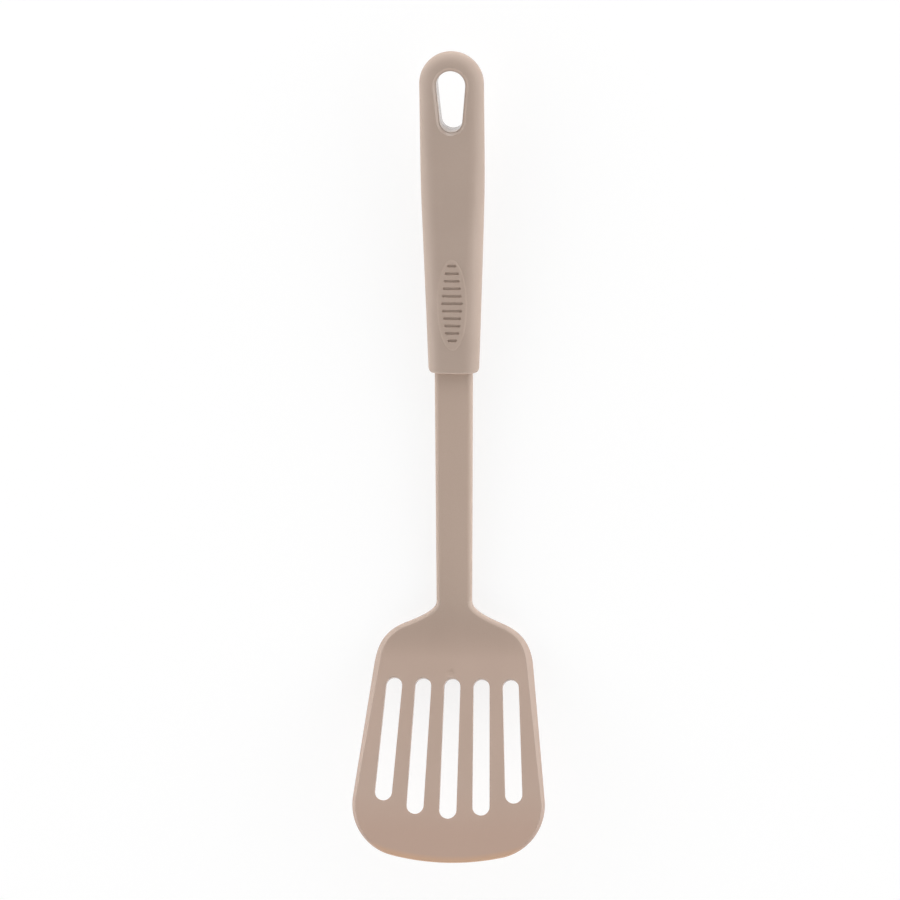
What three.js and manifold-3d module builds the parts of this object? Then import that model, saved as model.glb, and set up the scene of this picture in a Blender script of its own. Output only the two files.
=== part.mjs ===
// Slotted kitchen turner: a nylon blade with its stem and tang, a moulded handle, and a ribbed thumb pad.
// Millimetres. X is the width, Y runs from the blade's front edge to the handle's hanging end, and Z is up.
// The pieces are drawn with the stem level, the food side up and the handle's mouth at Y = 0.
// Lengths along the blade run from the handle's mouth to the front edge.
// The last section lays the whole tool on a table.

import * as THREE from "three";
import { mergeVertices } from "three/addons/utils/BufferGeometryUtils.js";
import Module from "manifold-3d";

const wasm = await Module();
wasm.setup();
const { lerp, smoothstep, degToRad } = THREE.MathUtils;

// Fits
const FIT_GAP = 0.3;
const CUT_MARGIN = 2;
const SAME_STATION = 1e-4;

// Handle
const HANDLE_LENGTH = 130;
const HANDLE_MOUTH_WIDTH = 20.8;
const HANDLE_GRIP_WIDTH = 26;
const HANDLE_TAPER_LENGTH = 77;
const HANDLE_TAPER_BLEND = 11;
const HANDLE_RISE = 8;
const HANDLE_FRONT_MOUTH_DEPTH = 5.8;
const HANDLE_FRONT_DEPTH = 7.6;
const HANDLE_BACK_MOUTH_DEPTH = 7;
const HANDLE_BACK_DEPTH = 9;
const HANDLE_EYE_DEPTH = 5.4;
const HANDLE_BELLY_AT = 45;
const HANDLE_THIN_FROM = 95;
const HANDLE_FRONT_ROUND = 6.5;
const HANDLE_BACK_ROUND = 9;
const HANDLE_MOUTH_CORNER_LENGTH = 2.4;
const HANDLE_MOUTH_CORNER_WIDTH = 1.6;
const HANDLE_MOUTH_LIP = 0.8;
const HANDLE_OUTLINE_STEPS = 8;
const HANDLE_LAST_TURN = degToRad(86);
const HANDLE_ROW_SPACING = 6;
const HANDLE_ROW_POINTS = 16;

// Hanging eye, wide towards the end of the handle
const EYE_END_WALL = 6.94;
const EYE_WIDE_RADIUS = 6.26;
const EYE_NARROW_RADIUS = 4.94;
const EYE_CENTRE_DISTANCE = 14;
const EYE_RIM_WIDTH = 0.9;
const EYE_RIM_DEPTH = 0.9;
const EYE_LEDGE_WIDTH = 0.4;
const EYE_NARROW_LEAN = 0.6;
const EYE_BACK_ROUND = 0.9;
const EYE_BACK_STEPS = 3;
const EYE_ARC_STEPS = 10;

// Thumb pad, an oval inlay with cross grooves
const PAD_MOUTH_LAND = 9.65;
const PAD_LENGTH = 37.1;
const PAD_WIDTH = 12.3;
const PAD_THICKNESS = 1.9;
const PAD_PROUD = 0.25;
const PAD_OUTLINE_STEPS = 20;
const GROOVE_FIELD_SHIFT = 0.75;
const GROOVE_PITCH = 3.05;
const GROOVE_WIDTH = 1.12;
const GROOVE_DEPTH = 0.42;
const GROOVE_SIDE_LAND = 1.825;
const GROOVE_END_LAND = 2.2;
const GROOVE_SHORTENING = 0.7;
const GROOVE_LAST_SHORTENING = 1.4;
const GROOVE_END_STEPS = 5;

// Stem and tang
const STEM_WIDTH_MOUTH = 15.5;
const STEM_WIDTH_NECK = 14.6;
const STEM_THICKNESS = 6;
const STEM_EDGE_ROUND = 1.9;
const STEM_SEAT_DEPTH = 8.8;
const TANG_LENGTH = 60;
const TANG_CORE_WIDTH = 8.6;
const TANG_BARB_WIDTH = 11;
const TANG_THICKNESS = 4.4;
const TANG_BARB_COUNT = 5;
const TANG_BARB_PITCH = 10;
const TANG_BARB_LENGTH = 5.5;
const TANG_OVERLAP = 1;

// Head of the blade, seen from above
const STEM_LENGTH = 95.15;
const HEAD_LENGTH = 108.85;
const FLARE_RUN = 9.7;
const FLARE_HALF_WIDTH = 20.1;
const FLARE_ANGLE = degToRad(67.4);
const FLARE_STEM_PULL = 3.5;
const FLARE_NECK_PULL = 8.9;
const FLARE_SHOULDER_PULL = 9.7;
const SIDE_PULL = 8;
const SHOULDER_RUN = 27.35;
const SIDE_HALF_WIDTH = 32.97;
const SIDE_SPREAD = 0.1154;
const FRONT_RADIUS = 100;
const FRONT_CORNER_RADIUS = 21.8;
const FRONT_FLAT_HALF_WIDTH = 3;
const OUTLINE_STEPS = 12;

// Head of the blade, seen from the side
const BEND_LEAD = 3.15;
const BEND_LENGTH = 28;
const BEND_ANGLE = degToRad(24);
const BEND_STEPS = 10;
const HEAD_ROOT_THICKNESS = 2.95;
const WEDGE_LENGTH = 17;
const WEDGE_THICKNESS = 1.65;
const FRONT_THICKNESS = 0.8;
const HEAD_EDGE_LAND = 0.4;
const HEAD_BOTTOM_ROUND = 0.25;
const EDGE_STEPS = 3;
const BOTTOM_STEPS = 2;
const STEEPEST_EDGE = 8;

// Slots in the head
const SLOT_COUNT = 5;
const SLOT_ROOT_INSET = 6;
const SLOT_SIDE_LAND = 6.4374;
const SLOT_PITCH_GAIN = 0.0295;
const SLOT_ROOT_WIDTH = 6.65;
const SLOT_FRONT_WIDTH = 7;
const SLOT_FRONT_LAND = 17.8;
const SLOT_FRONT_RADIUS = 58;
const SLOT_END_STEPS = 6;

// Search for the pose on the table
const REST_PASSES = 12;

// Places along the handle
const domeAt = HANDLE_LENGTH - HANDLE_GRIP_WIDTH / 2;
const eyeWideAt = HANDLE_LENGTH - EYE_END_WALL - EYE_WIDE_RADIUS;
const eyeNarrowAt = eyeWideAt - EYE_CENTRE_DISTANCE;
const padAt = PAD_MOUTH_LAND + PAD_LENGTH / 2;

// Places along the blade
const neckAt = STEM_LENGTH;
const flareAt = neckAt + FLARE_RUN;
const sideAt = neckAt + SHOULDER_RUN;
const frontAt = neckAt + HEAD_LENGTH;
const bendAt = neckAt - BEND_LEAD;
const bendEnd = bendAt + BEND_LENGTH;
const wedgeAt = frontAt - WEDGE_LENGTH;
const slotRootAt = sideAt + SLOT_ROOT_INSET;
const slotFrontAt = frontAt - SLOT_FRONT_LAND;

// Looks
const NYLON = new THREE.MeshStandardMaterial({ color: 0xb49f91, roughness: 0.5, metalness: 0 });
const GRIP_PLASTIC = new THREE.MeshStandardMaterial({ color: 0xab988b, roughness: 0.6, metalness: 0 });
const PAD_PLASTIC = new THREE.MeshStandardMaterial({ color: 0xa99689, roughness: 0.7, metalness: 0 });

// Solids and cuts

function toSolid(geometry) {
  geometry.deleteAttribute("normal");
  geometry.deleteAttribute("uv");
  const merged = mergeVertices(geometry);
  const vertProperties = new Float32Array(merged.attributes.position.array);
  const triVerts = new Uint32Array(merged.index.array);
  return new wasm.Manifold(new wasm.Mesh({ numProp: 3, vertProperties, triVerts }));
}

function toMesh(name, solid, material) {
  const { vertProperties, triVerts } = solid.getMesh();
  const geometry = new THREE.BufferGeometry();
  geometry.setAttribute("position", new THREE.BufferAttribute(vertProperties, 3));
  geometry.setIndex(new THREE.BufferAttribute(triVerts, 1));
  geometry.computeVertexNormals();
  const mesh = new THREE.Mesh(geometry, material);
  mesh.name = name;
  return mesh;
}

// A closed skin through rings of equal point count.
// Each ring runs counter-clockwise, seen from beyond the last ring.
function loft(rings) {
  const count = rings[0].length;
  const corners = rings.flat();
  const triangles = [];
  for (let ring = 0; ring + 1 < rings.length; ring += 1) {
    for (let k = 0; k < count; k += 1) {
      const here = ring * count + k;
      const next = ring * count + ((k + 1) % count);
      triangles.push(here, next, next + count, here, next + count, here + count);
    }
  }
  const centreOf = (ring) => ring.reduce((sum, p) => sum.add(p), new THREE.Vector3()).divideScalar(count);
  const last = (rings.length - 1) * count;
  const firstCentre = corners.push(centreOf(rings[0])) - 1;
  const lastCentre = corners.push(centreOf(rings.at(-1))) - 1;
  for (let k = 0; k < count; k += 1) {
    const next = (k + 1) % count;
    triangles.push(firstCentre, next, k, lastCentre, last + k, last + next);
  }
  const geometry = new THREE.BufferGeometry().setFromPoints(corners);
  geometry.setIndex(triangles);
  return toSolid(geometry);
}

function prism(shape, from, to, curveSegments, frame) {
  const options = { depth: to - from, bevelEnabled: false, curveSegments };
  const geometry = new THREE.ExtrudeGeometry(shape, options);
  geometry.translate(0, 0, from);
  return toSolid(geometry.applyMatrix4(frame));
}

// Two round ends joined by tangent lines
function taperedSlot(from, to, fromRadius, toRadius) {
  const heading = Math.atan2(to.y - from.y, to.x - from.x);
  const touch = Math.acos((fromRadius - toRadius) / from.distanceTo(to));
  const shape = new THREE.Shape();
  shape.absarc(to.x, to.y, toRadius, heading - touch, heading + touch, false);
  shape.absarc(from.x, from.y, fromRadius, heading + touch, heading + 2 * Math.PI - touch, false);
  shape.closePath();
  return shape;
}

// Half widths of an outline at its own points and at extra stations, in order of length
function outlineRows(outline, extraStations) {
  const stations = [...outline.map((point) => point.y), ...extraStations].sort((a, b) => a - b);
  const spaced = stations.filter((at, k) => k === 0 || at - stations[k - 1] > SAME_STATION);
  return spaced.map((at) => {
    const after = Math.max(1, outline.findIndex((point) => point.y >= at - SAME_STATION));
    const [low, high] = [outline[after - 1], outline[after]];
    const half = lerp(low.x, high.x, (at - low.y) / (high.y - low.y));
    return { at, half };
  });
}

// Frame on a side-view line: Z along its normal, leaning with the line's slope
function slopedFrame(y, z, slope) {
  const frame = new THREE.Matrix4().makeRotationX(Math.atan(slope));
  return frame.setPosition(0, y, z);
}

// Handle blank

function handleOutline() {
  const mouth = HANDLE_MOUTH_WIDTH / 2;
  const grip = HANDLE_GRIP_WIDTH / 2;
  const blendFrom = HANDLE_TAPER_LENGTH - HANDLE_TAPER_BLEND;
  const blendHalf = lerp(mouth, grip, blendFrom / HANDLE_TAPER_LENGTH);
  const path = new THREE.Path();
  path.absellipse(
    mouth - HANDLE_MOUTH_CORNER_WIDTH, HANDLE_MOUTH_CORNER_LENGTH,
    HANDLE_MOUTH_CORNER_WIDTH, HANDLE_MOUTH_CORNER_LENGTH, -Math.PI / 2, 0, false, 0);
  path.lineTo(blendHalf, blendFrom);
  path.quadraticCurveTo(grip, HANDLE_TAPER_LENGTH, grip, HANDLE_TAPER_LENGTH + HANDLE_TAPER_BLEND);
  path.absarc(0, domeAt, grip, 0, HANDLE_LAST_TURN, false);
  return path.getPoints(HANDLE_OUTLINE_STEPS);
}

function handleCentre(y) {
  return HANDLE_RISE * (y / HANDLE_LENGTH) ** 2;
}

// Depth from the centre line, swelling from the mouth to the middle and thinning to the eye
function swelling(y, mouth, middle) {
  const swell = lerp(mouth, middle, smoothstep(y, 0, HANDLE_BELLY_AT));
  return lerp(swell, HANDLE_EYE_DEPTH, smoothstep(y, HANDLE_BELLY_AT, HANDLE_THIN_FROM));
}

function frontDepth(y) {
  return swelling(y, HANDLE_FRONT_MOUTH_DEPTH, HANDLE_FRONT_DEPTH);
}

function backDepth(y) {
  return swelling(y, HANDLE_BACK_MOUTH_DEPTH, HANDLE_BACK_DEPTH);
}

function handleFront(y) {
  return handleCentre(y) + frontDepth(y);
}

function handleRing({ at, half }) {
  const inset = Math.max(0, HANDLE_MOUTH_LIP - at);
  const lipDrop = HANDLE_MOUTH_LIP - Math.sqrt(HANDLE_MOUTH_LIP ** 2 - inset ** 2);
  const edgeDistance = (x) =>
    at > domeAt ? HANDLE_GRIP_WIDTH / 2 - Math.hypot(x, at - domeAt) : half - Math.abs(x);
  const height = (x, depth, round) => {
    const fromFlat = 1 - THREE.MathUtils.clamp(edgeDistance(x) / round, 0, 1);
    return (depth - lipDrop) * Math.sqrt(1 - fromFlat ** 2);
  };
  const ring = [];
  for (let k = 0; k < 2 * HANDLE_ROW_POINTS; k += 1) {
    const turn = (Math.PI * k) / HANDLE_ROW_POINTS;
    const x = half * Math.cos(turn);
    const front = height(x, frontDepth(at), HANDLE_FRONT_ROUND);
    const back = height(x, backDepth(at), HANDLE_BACK_ROUND);
    ring.push(new THREE.Vector3(x, at, handleCentre(at) + (k <= HANDLE_ROW_POINTS ? front : -back)));
  }
  return ring;
}

function handleBlank() {
  const stations = [];
  for (let at = HANDLE_ROW_SPACING; at < domeAt; at += HANDLE_ROW_SPACING) {
    stations.push(at);
  }
  return loft(outlineRows(handleOutline(), stations).reverse().map(handleRing));
}

// Hanging eye, cut square to the handle's face there: a bevelled front rim with a ledge at its foot,
// a wall that leans in at the narrow end, and a rounded back rim
function eyeCutter() {
  const middle = (eyeWideAt + eyeNarrowAt) / 2;
  const face = frontDepth(middle);
  const slope = (2 * HANDLE_RISE * middle) / HANDLE_LENGTH ** 2;
  const frame = slopedFrame(middle, handleCentre(middle), slope);
  const wide = new THREE.Vector2(0, eyeWideAt - middle);
  const ring = (grow, z, lean) => {
    const narrow = new THREE.Vector2(0, eyeNarrowAt - middle + lean);
    const shape = taperedSlot(narrow, wide, EYE_NARROW_RADIUS + grow, EYE_WIDE_RADIUS + grow);
    const points = shape.getPoints(EYE_ARC_STEPS).slice(0, -1);
    return points.map((p) => new THREE.Vector3(p.x, p.y, z).applyMatrix4(frame));
  };
  const backRim = [];
  for (let step = 0; step <= EYE_BACK_STEPS; step += 1) {
    const turn = (Math.PI / 2) * (step / EYE_BACK_STEPS);
    const grow = EYE_BACK_ROUND * (1 - Math.sin(turn)) - EYE_LEDGE_WIDTH;
    backRim.push(ring(grow, EYE_BACK_ROUND * (1 - Math.cos(turn)) - face, EYE_NARROW_LEAN));
  }
  return loft([
    ring(EYE_BACK_ROUND - EYE_LEDGE_WIDTH, -face - CUT_MARGIN, EYE_NARROW_LEAN),
    ...backRim,
    ring(-EYE_LEDGE_WIDTH, face - EYE_RIM_DEPTH, 0),
    ring(0, face - EYE_RIM_DEPTH, 0),
    ring(EYE_RIM_WIDTH, face, 0),
    ring(EYE_RIM_WIDTH, face + CUT_MARGIN, 0),
  ]);
}

// Thumb pad and the pocket that holds it

// Frame on the handle's face at one length
function faceFrame(y) {
  const slope = (handleFront(y + 1) - handleFront(y - 1)) / 2;
  return slopedFrame(y, handleFront(y), slope);
}

function padOval(grow) {
  const shape = new THREE.Shape();
  shape.absellipse(0, 0, PAD_WIDTH / 2 + grow, PAD_LENGTH / 2 + grow, 0, 2 * Math.PI, false, 0);
  return shape;
}

function padPocket() {
  const floor = -PAD_THICKNESS - FIT_GAP;
  return prism(padOval(FIT_GAP), floor, CUT_MARGIN, PAD_OUTLINE_STEPS, faceFrame(padAt));
}

// Grooves lie a little nearer the hanging end.
// They get shorter by even steps, and the last two by one step more.
const groovesEachWay = Math.floor((PAD_LENGTH / 2 - GROOVE_END_LAND - GROOVE_FIELD_SHIFT) / GROOVE_PITCH);

function grooveCutter(index) {
  const steps = Math.abs(index);
  const lastShortening = steps === groovesEachWay ? GROOVE_LAST_SHORTENING : 0;
  const length = PAD_WIDTH - 2 * GROOVE_SIDE_LAND - GROOVE_SHORTENING * steps - lastShortening;
  const radius = GROOVE_WIDTH / 2;
  const half = length / 2 - radius;
  const shape = taperedSlot(new THREE.Vector2(-half, 0), new THREE.Vector2(half, 0), radius, radius);
  const frame = faceFrame(padAt + GROOVE_FIELD_SHIFT + index * GROOVE_PITCH);
  return prism(shape, PAD_PROUD - GROOVE_DEPTH, CUT_MARGIN, GROOVE_END_STEPS, frame);
}

function buildThumbPad(blank) {
  const plug = prism(padOval(0), -PAD_THICKNESS, CUT_MARGIN, PAD_OUTLINE_STEPS, faceFrame(padAt));
  let pad = plug.intersect(blank.translate([0, 0, PAD_PROUD]));
  for (let index = -groovesEachWay; index <= groovesEachWay; index += 1) {
    pad = pad.subtract(grooveCutter(index));
  }
  return pad;
}

// Blade seen from above: half outline from the seat in the handle to the front edge

function stemHalfWidth(at) {
  return lerp(STEM_WIDTH_MOUTH, STEM_WIDTH_NECK, at / neckAt) / 2;
}

function bladeOutline() {
  const neck = STEM_WIDTH_NECK / 2;
  const flare = new THREE.Vector2(Math.sin(FLARE_ANGLE), Math.cos(FLARE_ANGLE));
  const side = new THREE.Vector2(SIDE_SPREAD, 1).normalize();
  const corner = frontCorner(side);
  const path = new THREE.Path();
  path.moveTo(stemHalfWidth(-STEM_SEAT_DEPTH), -STEM_SEAT_DEPTH);
  path.lineTo(neck, neckAt);
  path.bezierCurveTo(
    neck, neckAt + FLARE_STEM_PULL,
    FLARE_HALF_WIDTH - FLARE_NECK_PULL * flare.x, flareAt - FLARE_NECK_PULL * flare.y,
    FLARE_HALF_WIDTH, flareAt);
  path.bezierCurveTo(
    FLARE_HALF_WIDTH + FLARE_SHOULDER_PULL * flare.x, flareAt + FLARE_SHOULDER_PULL * flare.y,
    SIDE_HALF_WIDTH - SIDE_PULL * side.x, sideAt - SIDE_PULL * side.y,
    SIDE_HALF_WIDTH, sideAt);
  const sideTurn = -Math.atan(SIDE_SPREAD);
  const frontCentre = frontAt - FRONT_RADIUS;
  const frontTurn = Math.atan2(corner.y - frontCentre, corner.x);
  const lastTurn = Math.acos(FRONT_FLAT_HALF_WIDTH / FRONT_RADIUS);
  path.absarc(corner.x, corner.y, FRONT_CORNER_RADIUS, sideTurn, frontTurn, false);
  path.absarc(0, frontCentre, FRONT_RADIUS, frontTurn, lastTurn, false);
  return path.getPoints(OUTLINE_STEPS);
}

// Centre of the corner arc that touches both the straight side and the front arc
function frontCorner(side) {
  const frontCentre = new THREE.Vector2(0, frontAt - FRONT_RADIUS);
  const inward = new THREE.Vector2(-side.y, side.x).multiplyScalar(FRONT_CORNER_RADIUS);
  const start = new THREE.Vector2(SIDE_HALF_WIDTH, sideAt).add(inward).sub(frontCentre);
  const reach = FRONT_RADIUS - FRONT_CORNER_RADIUS;
  const ahead = start.dot(side);
  const travel = Math.sqrt(ahead ** 2 - start.lengthSq() + reach ** 2) - ahead;
  return start.addScaledVector(side, travel).add(frontCentre);
}

// Blade seen from the side: the underside runs straight, turns up in one bend and is flat to the front

const bendRadius = BEND_LENGTH / BEND_ANGLE;

function underside(at) {
  const turn = THREE.MathUtils.clamp((at - bendAt) / bendRadius, 0, BEND_ANGLE);
  const beyond = Math.max(0, at - bendEnd);
  const straight = Math.min(at, bendAt);
  const forward = straight + bendRadius * Math.sin(turn) + beyond * Math.cos(turn);
  const up = bendRadius * (1 - Math.cos(turn)) + beyond * Math.sin(turn);
  return { y: -forward, z: up - STEM_THICKNESS / 2, turn };
}

function bladeThickness(at) {
  const head = lerp(HEAD_ROOT_THICKNESS, WEDGE_THICKNESS, (at - bendEnd) / (wedgeAt - bendEnd));
  const wedge = lerp(WEDGE_THICKNESS, FRONT_THICKNESS, (at - wedgeAt) / WEDGE_LENGTH);
  return at > wedgeAt ? wedge : lerp(STEM_THICKNESS, head, smoothstep(at, bendAt, bendEnd));
}

// One section of the blade: rounded edges on the stem, a flat bevel along the head's upper edge
function bladeRing(row, index, rows) {
  const { at, half } = row;
  const before = rows[Math.max(0, index - 1)];
  const after = rows[Math.min(rows.length - 1, index + 1)];
  const slope = (after.half - before.half) / (after.at - before.at);
  const lean = Math.min(Math.hypot(1, slope), STEEPEST_EDGE);
  const headness = smoothstep(at, neckAt, sideAt);
  const thickness = bladeThickness(at);
  const bevel = lerp(STEM_EDGE_ROUND, Math.min(thickness, HEAD_ROOT_THICKNESS) - HEAD_EDGE_LAND, headness);
  const bevelAcross = Math.min(bevel * lean, half / 2);
  const bottom = lerp(STEM_EDGE_ROUND, HEAD_BOTTOM_ROUND, headness);
  const edge = [];
  for (let k = 0; k <= BOTTOM_STEPS; k += 1) {
    const turn = (Math.PI / 2) * (k / BOTTOM_STEPS);
    edge.push([half - bottom * (1 - Math.sin(turn)), bottom * (1 - Math.cos(turn))]);
  }
  for (let k = 0; k <= EDGE_STEPS; k += 1) {
    const share = k / EDGE_STEPS;
    const turn = (Math.PI / 2) * share;
    const inwards = lerp(1 - Math.cos(turn), share, headness);
    const upwards = lerp(Math.sin(turn), share, headness);
    edge.push([half - bevelAcross * inwards, thickness - bevel * (1 - upwards)]);
  }
  const { y, z, turn } = underside(at);
  const up = new THREE.Vector3(0, Math.sin(turn), Math.cos(turn));
  const place = (x, height) => new THREE.Vector3(x, y, z).addScaledVector(up, height);
  const right = edge.map(([x, height]) => place(x, height));
  const left = edge.map(([x, height]) => place(-x, height)).reverse();
  return [...right, ...left];
}

function bladeBlank() {
  const stations = [wedgeAt];
  for (let step = 0; step <= BEND_STEPS; step += 1) {
    stations.push(bendAt + (BEND_LENGTH * step) / BEND_STEPS);
  }
  return loft(outlineRows(bladeOutline(), stations).map(bladeRing));
}

// Slots share the head's width inside its side bars, fan out with it, and end in front along an arc
function slotCutter(index) {
  const outermost = (SLOT_COUNT - 1) / 2;
  const step = index - outermost;
  const rootRadius = SLOT_ROOT_WIDTH / 2;
  const frontRadius = SLOT_FRONT_WIDTH / 2;
  const rootHalfWidth = SIDE_HALF_WIDTH + SIDE_SPREAD * SLOT_ROOT_INSET;
  const rootPitch = (rootHalfWidth - SLOT_SIDE_LAND - rootRadius) / outermost;
  const across = (at) => step * (rootPitch + SLOT_PITCH_GAIN * (at - slotRootAt));
  const sag = SLOT_FRONT_RADIUS - Math.sqrt(SLOT_FRONT_RADIUS ** 2 - across(slotFrontAt) ** 2);
  const rootCentre = slotRootAt + rootRadius;
  const frontCentre = slotFrontAt - sag - frontRadius;
  const root = new THREE.Vector2(across(rootCentre), -rootCentre);
  const front = new THREE.Vector2(across(frontCentre), -frontCentre);
  const shape = taperedSlot(root, front, rootRadius, frontRadius);
  return prism(shape, -CUT_MARGIN, STEM_THICKNESS, SLOT_END_STEPS, headFrame());
}

// Frame of the flat head: its origin is where length zero would lie on the underside's own plane
function headFrame() {
  const { y, z, turn } = underside(bendEnd);
  const frame = new THREE.Matrix4().makeRotationX(-turn);
  return frame.setPosition(0, y + bendEnd * Math.cos(turn), z - bendEnd * Math.sin(turn));
}

// Barbed tang that locks the blade in the handle

function barbedOutline() {
  const core = TANG_CORE_WIDTH / 2;
  const barb = TANG_BARB_WIDTH / 2;
  const end = STEM_SEAT_DEPTH + TANG_LENGTH;
  const edge = [new THREE.Vector2(core, STEM_SEAT_DEPTH - TANG_OVERLAP)];
  for (let index = TANG_BARB_COUNT - 1; index >= 0; index -= 1) {
    const tip = end - TANG_BARB_LENGTH - index * TANG_BARB_PITCH;
    edge.push(new THREE.Vector2(core, tip));
    edge.push(new THREE.Vector2(barb, tip));
    edge.push(new THREE.Vector2(core, tip + TANG_BARB_LENGTH));
  }
  const mirrored = edge.map((point) => new THREE.Vector2(-point.x, point.y)).reverse();
  return new THREE.Shape([...edge, ...mirrored]);
}

function tang() {
  return prism(barbedOutline(), -TANG_THICKNESS / 2, TANG_THICKNESS / 2, 1, new THREE.Matrix4());
}

function buildBlade() {
  let blade = bladeBlank().add(tang());
  for (let index = 0; index < SLOT_COUNT; index += 1) {
    blade = blade.subtract(slotCutter(index));
  }
  return blade;
}

// Socket in the handle: the stem's own section at the mouth, then a plain pocket as wide as the barbs

function stemSocket() {
  const seatTop = STEM_SEAT_DEPTH + FIT_GAP;
  const half = stemHalfWidth(-STEM_SEAT_DEPTH) + FIT_GAP;
  const depth = STEM_THICKNESS / 2 + FIT_GAP;
  const round = STEM_EDGE_ROUND + FIT_GAP;
  const shape = new THREE.Shape();
  shape.absarc(half - round, depth - round, round, 0, Math.PI / 2, false);
  shape.absarc(round - half, depth - round, round, Math.PI / 2, Math.PI, false);
  shape.absarc(round - half, round - depth, round, Math.PI, 1.5 * Math.PI, false);
  shape.absarc(half - round, round - depth, round, 1.5 * Math.PI, 2 * Math.PI, false);
  shape.closePath();
  const towardsMouth = new THREE.Matrix4().makeRotationX(Math.PI / 2);
  return prism(shape, -seatTop, CUT_MARGIN, EDGE_STEPS, towardsMouth);
}

function tangSocket() {
  const half = TANG_BARB_WIDTH / 2 + FIT_GAP;
  const end = STEM_SEAT_DEPTH + TANG_LENGTH + FIT_GAP;
  const depth = TANG_THICKNESS / 2 + FIT_GAP;
  const shape = new THREE.Shape();
  shape.moveTo(-half, 0);
  shape.lineTo(half, 0);
  shape.lineTo(half, end);
  shape.lineTo(-half, end);
  shape.closePath();
  return prism(shape, -depth, depth, 1, new THREE.Matrix4());
}

function buildHandle(blank) {
  return blank.subtract(eyeCutter()).subtract(padPocket()).subtract(stemSocket()).subtract(tangSocket());
}

// Laying the tool on the table

function lowestPoint(mesh, angle) {
  const corners = mesh.geometry.attributes.position;
  const turned = new THREE.Vector3();
  let lowest = null;
  for (let k = 0; k < corners.count; k += 1) {
    turned.fromBufferAttribute(corners, k);
    const height = turned.y * Math.sin(angle) + turned.z * Math.cos(angle);
    if (lowest === null || height < lowest.height) {
      lowest = { height, y: turned.y, z: turned.z };
    }
  }
  return lowest;
}

// The tool rocks until the handle's belly and the blade's heel both touch
function restAngle(handle, blade) {
  let angle = 0;
  for (let pass = 0; pass < REST_PASSES; pass += 1) {
    const belly = lowestPoint(handle, angle);
    const heel = lowestPoint(blade, angle);
    angle = Math.atan((heel.z - belly.z) / (belly.y - heel.y));
  }
  return angle;
}

const blank = handleBlank();
const handle = toMesh("handle", buildHandle(blank), GRIP_PLASTIC);
const thumbPad = toMesh("thumb_pad", buildThumbPad(blank), PAD_PLASTIC);
const blade = toMesh("blade", buildBlade(), NYLON);

const turner = new THREE.Group();
turner.add(handle, thumbPad, blade);
turner.rotation.x = restAngle(handle, blade);
const footprint = new THREE.Box3().setFromObject(turner, true);
const centre = footprint.getCenter(new THREE.Vector3());
turner.position.set(-centre.x, -centre.y, -footprint.min.z);

export default turner;
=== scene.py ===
"""Looks of a slotted kitchen turner: a nylon blade, a moulded handle and a ribbed thumb pad.

Sizes of the pieces are in millimetres. They are drawn as the part's solids are, with the stem level, the
food side up and the handle's mouth at y = 0, and they are turned, moved and scaled to metres when their
meshes are made. Lengths along the blade run from the handle's mouth to the front edge.
"""

import math

import bmesh
import bpy
import numpy as np
from mathutils import Matrix, Vector
from mathutils.geometry import delaunay_2d_cdt


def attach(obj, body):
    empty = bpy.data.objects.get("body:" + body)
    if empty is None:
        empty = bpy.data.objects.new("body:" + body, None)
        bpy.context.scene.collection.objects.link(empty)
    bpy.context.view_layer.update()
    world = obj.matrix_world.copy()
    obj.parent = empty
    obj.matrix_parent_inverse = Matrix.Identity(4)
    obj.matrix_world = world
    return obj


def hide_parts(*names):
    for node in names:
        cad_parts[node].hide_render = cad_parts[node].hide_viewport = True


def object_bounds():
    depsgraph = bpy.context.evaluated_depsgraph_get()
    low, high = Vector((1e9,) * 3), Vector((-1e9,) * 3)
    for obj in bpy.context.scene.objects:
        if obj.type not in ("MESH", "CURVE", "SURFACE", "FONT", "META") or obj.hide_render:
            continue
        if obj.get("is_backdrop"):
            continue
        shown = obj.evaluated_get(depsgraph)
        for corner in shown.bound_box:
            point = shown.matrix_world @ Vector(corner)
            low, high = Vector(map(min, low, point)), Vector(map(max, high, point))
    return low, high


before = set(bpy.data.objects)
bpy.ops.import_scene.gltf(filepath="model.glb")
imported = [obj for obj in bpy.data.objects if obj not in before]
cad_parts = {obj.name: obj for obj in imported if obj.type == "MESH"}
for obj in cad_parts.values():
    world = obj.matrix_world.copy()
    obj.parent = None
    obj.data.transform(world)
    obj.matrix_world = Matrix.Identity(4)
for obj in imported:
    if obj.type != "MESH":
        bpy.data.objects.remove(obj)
cad_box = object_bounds()

# Pose of the drawn pieces on the table
MM = 0.001
REST_ANGLE = math.radians(2.4307)
REST_PLACE = Vector((0, 33.8717, 6.9592))

# Fineness of the meshes. A ring at the support's distance from an edge keeps the face beside it flat
POINT_SPACING = 1.0
CURVE_STEPS = 60
CORNER_STEPS = 4
SUPPORT = 0.15
FILL_SPACING = 1.1
FILL_TOLERANCE = 1e-7
SEED_CLEARANCE = 0.6
SHARP_ANGLE = math.radians(42)

# Handle
HANDLE_LENGTH = 130
HANDLE_MOUTH_WIDTH = 20.8
HANDLE_GRIP_WIDTH = 26
HANDLE_TAPER_LENGTH = 77
HANDLE_TAPER_BLEND = 11
HANDLE_RISE = 8
HANDLE_FRONT_MOUTH_DEPTH = 5.8
HANDLE_FRONT_DEPTH = 7.6
HANDLE_BACK_MOUTH_DEPTH = 7
HANDLE_BACK_DEPTH = 9
HANDLE_EYE_DEPTH = 5.4
HANDLE_BELLY_AT = 45
HANDLE_THIN_FROM = 95
HANDLE_FRONT_ROUND = 6.5
HANDLE_BACK_ROUND = 9
HANDLE_MOUTH_CORNER_LENGTH = 2.4
HANDLE_MOUTH_CORNER_WIDTH = 1.6
HANDLE_MOUTH_LIP = 0.8
SIDE_FRONT_BAND = 3.9
SIDE_BACK_BAND = 5.3
SIDE_BAND_STEPS = 13
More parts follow.
